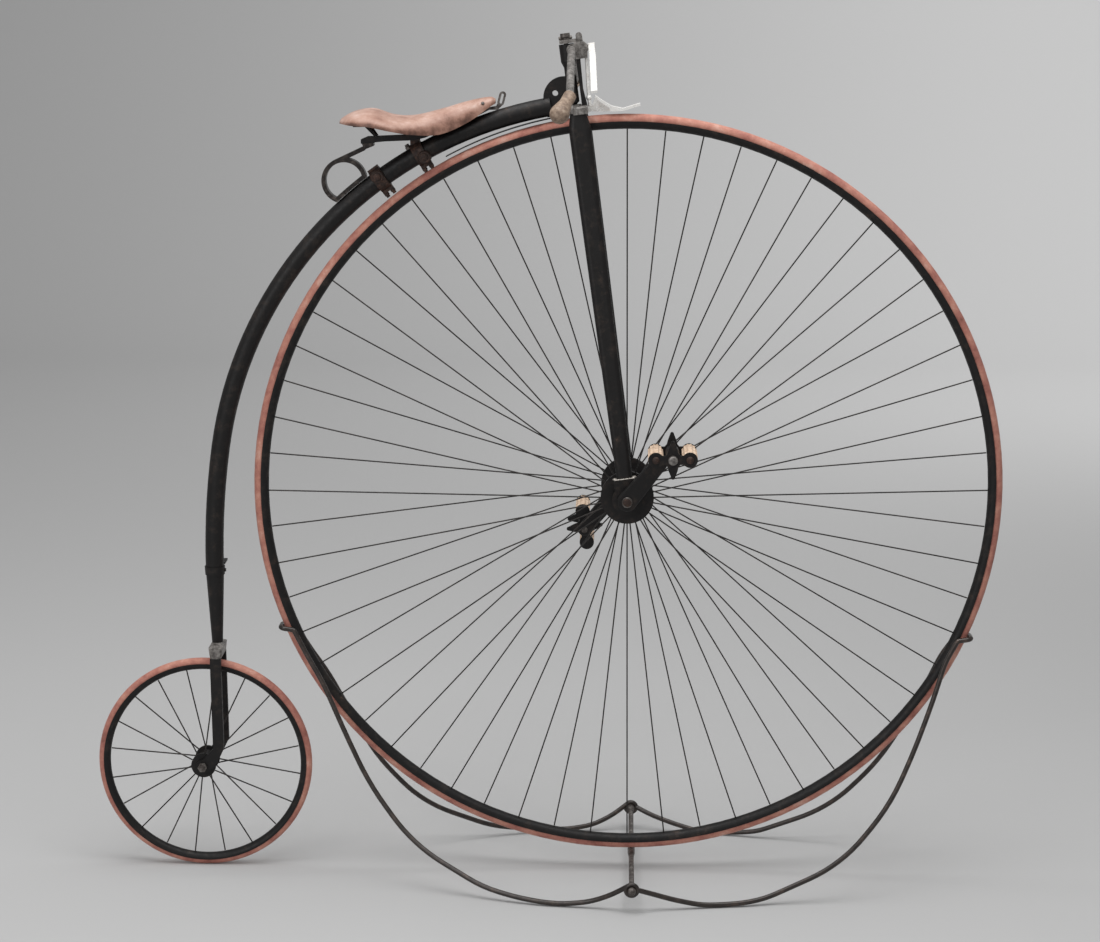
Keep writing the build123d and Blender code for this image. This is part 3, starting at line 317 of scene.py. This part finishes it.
slot_materials = {
    "black_enamel": enamel,
    "red_tyre_rubber": red_rubber,
    "nickel_plate": nickel,
    "worn_steel": worn_steel,
    "rusty_spring_steel": spring_steel,
    "stand_iron": stand_iron,
    "saddle_leather": leather,
    "cream_rubber": cream_rubber,
    "grip_wood": grip_wood,
}
own_materials = (
    # material, the nodes that it covers in place of their slot's material
    (spoke_wire, ("front_spokes", "rear_spokes")),
    (rubbed_steel, ("handlebar_right", "handlebar_left", "head_lug", "lamp_bracket")),
    (rubbed_steel, ("fork_crown", "rear_fork_crown")),
    (worn_steel, ("stand_crossbar",)),
    (enamel, ("neck",)),
    (rusty_steel, ("saddle_clamp", "spring_clamp")),
)
for row in frame["record"]["subparts"]:
    mesh = nodes[row["node"]].data
    mesh.materials.clear()
    mesh.materials.append(slot_materials[row["material_slot"]])
for finish, names in own_materials:
    for name in names:
        nodes[name].data.materials[0] = finish


# Points of a new piece that lie this close are joined, in metres. Edges stay sharp where
# faces meet at more than these angles, in degrees.
weld_distance = 0.00001
new_piece_angle = 40
cad_piece_angle = 35


# Meshes from grids of points
def surface_mesh(name, grids, finish):
    """One mesh from grids of points (rows, columns, 3), each joined round its columns or not.

    Four neighbouring points of a grid are the corners of one face.
    """
    points = []
    faces = []
    start = 0
    for grid, close in grids:
        rows, columns = grid.shape[:2]
        u, v = np.meshgrid(
            np.arange(rows - 1), np.arange(columns if close else columns - 1), indexing="ij"
        )
        here = u.ravel()
        column = v.ravel()
        after = here + 1
        beside = (column + 1) % columns
        corners = [
            here * columns + column,
            after * columns + column,
            after * columns + beside,
            here * columns + beside,
        ]
        faces.append(np.stack(corners, axis=1) + start)
        points.append(grid.reshape(-1, 3))
        start += rows * columns
    mesh = bpy.data.meshes.new(name)
    mesh.from_pydata(np.concatenate(points).tolist(), [], np.concatenate(faces).tolist())
    mesh.materials.append(finish)
    mesh.polygons.foreach_set("use_smooth", [True] * len(mesh.polygons))
    mesh.update()
    made = bpy.data.objects.new(name, mesh)
    bpy.context.scene.collection.objects.link(made)
    return made


def sharpen(made, degrees_apart):
    """Keep edges sharp where faces meet at more than the given angle."""
    edge = made.modifiers.new("sharp_edges", "EDGE_SPLIT")
    edge.split_angle = radians(degrees_apart)


def piece(name, grids, finish, body, stands_for=None):
    """A new piece of the object, welded where its grids meet."""
    made = surface_mesh(name, grids, finish)
    weld = made.modifiers.new("weld", "WELD")
    weld.merge_threshold = weld_distance
    sharpen(made, new_piece_angle)
    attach(made, body)
    if stands_for:
        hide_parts(stands_for)


# The machine stands in the row frame turned nose up about the front axle
front_axle = np.array((0.155939, 0.0, 0.7548))
nose_up = radians(0.95076)
rake = radians(6.85)
both_sides = (("right", -1), ("left", 1))
dome_foot = 1.0
dome_rings = 7


def placed(points):
    """Millimetres in the machine's own frame, turned nose up, in metres in the row frame.

    Forward becomes forward cos(a) - up sin(a), and up becomes forward sin(a) + up cos(a).
    """
    p = np.asarray(points, float) / 1000
    x = p[..., 0] * cos(nose_up) - p[..., 2] * sin(nose_up)
    z = p[..., 0] * sin(nose_up) + p[..., 2] * cos(nose_up)
    return np.stack([x, p[..., 1], z], axis=-1) + front_axle


def on_fork(forward, y, up):
    """A place so far forward of the fork line and up it, in the machine's own frame."""
    x = forward * cos(rake) - up * sin(rake)
    z = forward * sin(rake) + up * cos(rake)
    return np.array((x, y, z))


def turned(base, axis, profile, sides=24, flutes=0, depth=0.0):
    """Rings round an axis, one for each (distance along it, radius) row of the profile.

    A point is the base, plus the row's distance along the axis, plus its radius times
    cos(t) and sin(t) across the axis. With flutes, the radius at angle t is the row's less
    the depth times |sin(flutes t / 2)|, except on rows too thin to be fluted.
    """
    axis = np.asarray(axis, float) / np.linalg.norm(axis)
    aside = (0.3, 0.1, 1.0) if abs(axis[1]) > 0.5 else (0.0, 1.0, 0.0)
    across = np.cross(axis, aside)
    across /= np.linalg.norm(across)
    other = np.cross(axis, across)
    angle = -np.linspace(0, 2 * np.pi, sides, endpoint=False)
    along, radius = np.array(profile, float).T
    dent = depth * np.abs(np.sin(flutes * angle / 2))
    fluted = radius[:, None] - np.where(radius[:, None] > depth * 2, dent, 0)
    ring = np.cos(angle)[:, None] * across + np.sin(angle)[:, None] * other
    grid = np.asarray(base, float) + along[:, None, None] * axis
    grid = grid + np.maximum(fluted, 0)[..., None] * ring
    return placed(grid), True


def dome(base, axis, radius, height):
    """A turned cap: a short straight foot, and then a quarter of an ellipse up to its top.

    At angle t the height is the foot plus the rest times sin(t), and the ring's radius is
    the cap's radius times cos(t).
    """
    turn = np.linspace(0, np.pi / 2, dome_rings)
    rise = height - dome_foot
    rows = [(0, 0), (0, radius)]
    rows += [(dome_foot + rise * np.sin(t), radius * np.cos(t)) for t in turn]
    return turned(base, axis, rows)


def smooth_rows(rows, count):
    """Rows of numbers carried through their given values by a Catmull-Rom curve.

    Between two rows each value is a cubic, which passes each row in the direction of the
    line from the row before it to the row after it.
    """
    rows = np.array(rows, float)
    extended = np.vstack([2 * rows[0] - rows[1], rows, 2 * rows[-1] - rows[-2]])
    place = np.linspace(0, len(rows) - 1, count)
    index = np.minimum(place.astype(int), len(rows) - 2)
    t = (place - index)[:, None]
    p0, p1, p2, p3 = (extended[index + k] for k in range(4))
    return 0.5 * (
        2 * p1
        + (p2 - p0) * t
        + (2 * p0 - 5 * p1 + 4 * p2 - p3) * t**2
        + (3 * p1 - p0 - 3 * p2 + p3) * t**3
    )


# Saddle leather: one tensioned hide with a hump behind, flaps at the sides and a long nose
saddle_place = np.array((-380.74, 0.0, 641.85))
leather_stations = [
    # back, half width, top, edge
    (147.0, 22.0, 62.5, 58.0),
    (141.0, 52.0, 69.0, 59.0),
    (119.3, 84.0, 79.5, 57.0),
    (86.3, 97.0, 84.0, 55.0),
    (49.3, 91.0, 72.5, 46.5),
    (9.3, 70.0, 71.0, 38.5),
    (-40.7, 46.0, 82.0, 37.5),
    (-90.7, 30.0, 96.0, 57.5),
    (-130.0, 19.0, 103.0, 84.0),
    (-142.0, 9.0, 99.5, 91.0),
]
leather_thickness = 4.0
leather_round = 0.72
leather_rows = 72
leather_columns = 45
rivet_forward = 119.0
rivet_half = 19.5
rivet_height = 92.0
rivet_lean = (0.1, 0.75, 0.66)
rivet_size = (3.2, 2.2)


def leather_face(inset):
    """The hide at an inset from its outer face.

    Across each station, y is the half width times sin(v), and the height is the edge plus
    the rise to the top times cos(v) to a power below one, for v from -90 to 90 degrees.
    """
    back, half, high, edge = smooth_rows(leather_stations, leather_rows).T[..., None]
    v = np.linspace(-np.pi / 2, np.pi / 2, leather_columns)
    y = (half - inset) * np.sin(v)
    z = edge + (high - inset - edge) * np.maximum(np.cos(v), 0) ** leather_round
    grid = np.stack([np.broadcast_to(-back, y.shape), y, z], axis=-1)
    return grid + saddle_place


outer_face = leather_face(0.0)
inner_face = leather_face(leather_thickness)
shell = np.concatenate([outer_face[:, ::-1], inner_face], axis=1)
piece(
    "saddle_hide",
    [
        (placed(shell), True),
        (placed(np.stack([outer_face[0], inner_face[0]])), False),
        (placed(np.stack([inner_face[-1], outer_face[-1]])), False),
    ],
    leather,
    "backbone_frame",
    "saddle_leather",
)
rivets = []
for side in (-1, 1):
    rivet_place = saddle_place + (rivet_forward, side * rivet_half, rivet_height)
    rivet_way = (rivet_lean[0], side * rivet_lean[1], rivet_lean[2])
    rivets.append(dome(rivet_place, rivet_way, *rivet_size))
piece("saddle_rivets", rivets, worn_steel, "backbone_frame")

# Pedals: fluted rubbers between the plates, nuts on their rods, and a cap on each pin and
# on each end of the front axle
crank_throw = 130.0
crank_angle = radians(50)
pedal_in = 131.0
pedal_out = 227.0
pedal_plate = 3.5
pedal_turns = {"right": 0.0, "left": 97.0}
rubber_reach = 31.0
rubber_gap = 0.3
rubber_end = [(0, 0), (0, 11.0), (1.6, 14.4), (4.0, 14.4), (5.0, 13.6), (6.0, 14.4)]
rubber_sides = 96
rubber_flutes = 12
rubber_flute_depth = 1.7
rod_nut_size = (7.0, 4.5)
pin_end = 5.0
pin_cap_size = (8.0, 3.2)
axle_out = 122.0
axle_cap_size = (7.5, 2.5)
rubber_length = pedal_out - pedal_in - 2 * (pedal_plate + rubber_gap)
rubber_rows = rubber_end + [(rubber_length - along, r) for along, r in rubber_end[::-1]]
for name, side in both_sides:
    outward = (0, side, 0)
    throw = -side * crank_throw
    pin = np.array((throw * cos(crank_angle), 0.0, throw * sin(crank_angle)))
    pedal_turn = radians(pedal_turns[name])
    to_rod = rubber_reach * np.array((cos(pedal_turn), 0.0, sin(pedal_turn)))
    rods = (pin - to_rod, pin + to_rod)
    root = side * (pedal_in + pedal_plate + rubber_gap)
    piece(
        f"pedal_{name}_fluted_blocks",
        [
            turned(
                rod + (0, root, 0),
                outward,
                rubber_rows,
                rubber_sides,
                rubber_flutes,
                rubber_flute_depth,
            )
            for rod in rods
        ],
        cream_rubber,
        f"{name}_pedal",
        f"pedal_{name}_rubbers",
    )
    piece(
        f"pedal_{name}_rod_nuts",
        [dome(rod + (0, side * pedal_out, 0), outward, *rod_nut_size) for rod in rods],
        rusty_steel,
        f"{name}_pedal",
    )
    piece(
        f"pedal_{name}_pin_cap",
        [dome(pin + (0, side * (pedal_out + pin_end), 0), outward, *pin_cap_size)],
        rubbed_steel,
        "front_wheel",
    )
    piece(
        f"axle_end_{name}",
        [dome((0, side * axle_out, 0), outward, *axle_cap_size)],
        rusty_steel,
        "front_wheel",
    )

# Clamps on the backbone: a round boss on each side, and nuts under and over the tube
bend_centre = np.array((-11.36, 0.0, -35.63))
bend_radius = 771.64
spring_clamp_angle = 35.2
saddle_clamp_angle = 28.6
boss_half = 13.0
boss_rows = [
    # distance along, radius
    (0, 0),
    (0, 12.5),
    (9.0, 12.5),
    (11.0, 10.5),
    (11.0, 6.5),
    (14.0, 6.5),
    (15.0, 5.0),
    (15.0, 0),
]
boss_sides = 28
nut_rows = [(0, 0), (0, 4.8), (5.0, 4.8), (6.0, 3.6), (9.5, 3.6), (10.0, 0)]
nut_sides = 6
low_nut_spread = 7.0
low_nut_depth = 27.0
top_nut_along = 14.5
top_nut_out = 17.0
top_nut_half = 5.0
clamp_bolts = (
    # clamp, angle, boss along the tube, boss out of its middle line, slot
    ("spring_clamp", spring_clamp_angle, 0.0, 7.0, "rusty_spring_steel"),
    ("saddle_clamp", saddle_clamp_angle, -5.0, -9.0, "worn_steel"),
)


def on_backbone(angle, along, out):
    """A place on the backbone's upper bend, and the direction there away from the wheel.

    The angle is measured behind the vertical, about the middle of the bend's circle.
    """
    turn = radians(90 + angle)
    away = np.array((cos(turn), 0.0, sin(turn)))
    down = np.array((-sin(turn), 0.0, cos(turn)))
    return bend_centre + away * (bend_radius + out) + down * along, away


for name, angle, boss_along, boss_out, slot in clamp_bolts:
    grids = []
    for side in (-1, 1):
        place, away = on_backbone(angle, boss_along, boss_out)
        grids.append(
            turned(place + (0, side * boss_half, 0), (0, side, 0), boss_rows, boss_sides)
        )
    for along in (-low_nut_spread, low_nut_spread):
        place, away = on_backbone(angle, along, -low_nut_depth)
        grids.append(turned(place, -away, nut_rows, nut_sides))
    piece(f"{name}_bolts", grids, rusty_steel, "backbone_frame")
place, away = on_backbone(saddle_clamp_angle, top_nut_along, top_nut_out)
piece(
    "saddle_clamp_top_nuts",
    [
        turned(place + (0, side * top_nut_half, 0), away, nut_rows, nut_sides)
        for side in (-1, 1)
    ],
    worn_steel,
    "backbone_frame",
)

# Head: the two wings of the adjusting screw's knob
knob_forward = -6.0
knob_up = 858.0
wing_half = 13.0
wing_rows = [
    # distance along, radius
    (0, 0),
    (0.5, 2.6),
    (3, 3.6),
    (10, 3.0),
    (wing_half, 2.4),
    (16, 3.0),
    (23, 3.6),
    (25.5, 2.6),
    (26, 0),
]
wing_sides = 20
forward = on_fork(1, 0, 0)
piece(
    "knob_wings",
    [turned(on_fork(knob_forward - wing_half, 0, knob_up), forward, wing_rows, wing_sides)],
    worn_steel,
    "fork_and_stand",
)

# Fork feet: a rubbed top edge and two bolt heads over each bearing case, bright partly from wear and
# partly as a painted highlight
foot_edge_y = 97.6
foot_edge_up = 40.2
foot_edge_half = 19.0
foot_edge_rows = [(0, 0), (0.4, 1.3), (37.6, 1.3), (38.0, 0)]
foot_edge_sides = 12
foot_bolt_y = 90.0
foot_bolt_up = 40.0
foot_bolt_half = 18.0
foot_bolt_size = (4.6, 3.2)
for name, side in both_sides:
    edge_start = on_fork(-foot_edge_half, side * foot_edge_y, foot_edge_up)
    grids = [turned(edge_start, forward, foot_edge_rows, foot_edge_sides)]
    for along in (-foot_bolt_half, foot_bolt_half):
        bolt_place = on_fork(along, side * foot_bolt_y, foot_bolt_up)
        grids.append(dome(bolt_place, on_fork(0, 0, 1), *foot_bolt_size))
    piece(f"foot_edge_{name}", grids, wear_and_highlight_steel, "fork_and_stand")

# CAD pieces: round faces smooth and edges sharp
for part in nodes.values():
    if not part.name.endswith("spokes"):
        part.data.polygons.foreach_set("use_smooth", [True] * len(part.data.polygons))
        sharpen(part, cad_piece_angle)


# Floor, light and camera
def backdrop_points(half_width, front, back, height, bend, steps=24):
    """A floor that turns up into a wall: flat, then a quarter circle, then upright.

    On the circle y is the back less the bend, plus the bend times sin(t), and z is the
    bend less the bend times cos(t).
    """
    turn = np.linspace(0, np.pi / 2, steps)
    y = np.concatenate([[front], back - bend + bend * np.sin(turn), [back]])
    z = np.concatenate([[0], bend - bend * np.cos(turn), [height]])
    grid = np.zeros((len(y), 2, 3))
    grid[..., 0] = (-half_width, half_width)
    grid[..., 1] = y[:, None]
    grid[..., 2] = z[:, None]
    return grid


floor_points = backdrop_points(half_width=12.0, front=-8.0, back=9.5, height=7.0, bend=3.0)
floor = surface_mesh("studio_backdrop", [(floor_points, False)], paper)


def area_light(name, place, target, width, height, watts):
    """A soft rectangle of light that isn't seen itself."""
    light = bpy.data.lights.new(name, "AREA")
    light.shape = "RECTANGLE"
    light.size = width
    light.size_y = height
    light.energy = watts
    made = bpy.data.objects.new(name, light)
    made.location = place
    made.rotation_mode = "QUATERNION"
    made.rotation_quaternion = (Vector(target) - Vector(place)).to_track_quat("-Z", "Y")
    made.visible_camera = False
    bpy.context.scene.collection.objects.link(made)


lights = (
    # name, place, target, width, height, watts
    ("overhead_softbox", (0.0, -0.6, 4.2), (0.0, 0.0, 0.7), 4.0, 3.0, 138),
    ("backdrop_softbox", (3.2, 5.0, 4.2), (1.2, 9.3, 1.2), 3.0, 3.0, 190),
    ("camera_side_softbox", (-2.6, -4.2, 2.6), (0.0, 0.0, 0.8), 2.4, 2.4, 60),
)
for row in lights:
    area_light(*row)
world_colour = "#dadada"
world_strength = 0.55
world = bpy.data.worlds.new("studio_world")
world.use_nodes = True
world.node_tree.nodes["Background"].inputs["Color"].default_value = linear(world_colour)
world.node_tree.nodes["Background"].inputs["Strength"].default_value = world_strength
bpy.context.scene.world = world

yaw = radians(camera_yaw)
pitch = radians(camera_pitch)
roll = radians(camera_roll)
look = Vector((-sin(yaw) * cos(pitch), cos(yaw) * cos(pitch), -sin(pitch)))
level = Vector((cos(yaw), sin(yaw), 0))
upright = level.cross(look)
right = level * cos(roll) + upright * sin(roll)
top = upright * cos(roll) - level * sin(roll)
camera_data = bpy.data.cameras.new("photo_camera")
camera_data.lens = camera_lens
camera_data.sensor_width = camera_sensor
camera = bpy.data.objects.new("photo_camera", camera_data)
camera.matrix_world = Matrix(
    [[right[i], top[i], -look[i], camera_place[i]] for i in range(3)] + [[0, 0, 0, 1]]
)
bpy.context.scene.collection.objects.link(camera)
bpy.context.scene.camera = camera
bpy.context.scene.view_settings.view_transform = "Standard"
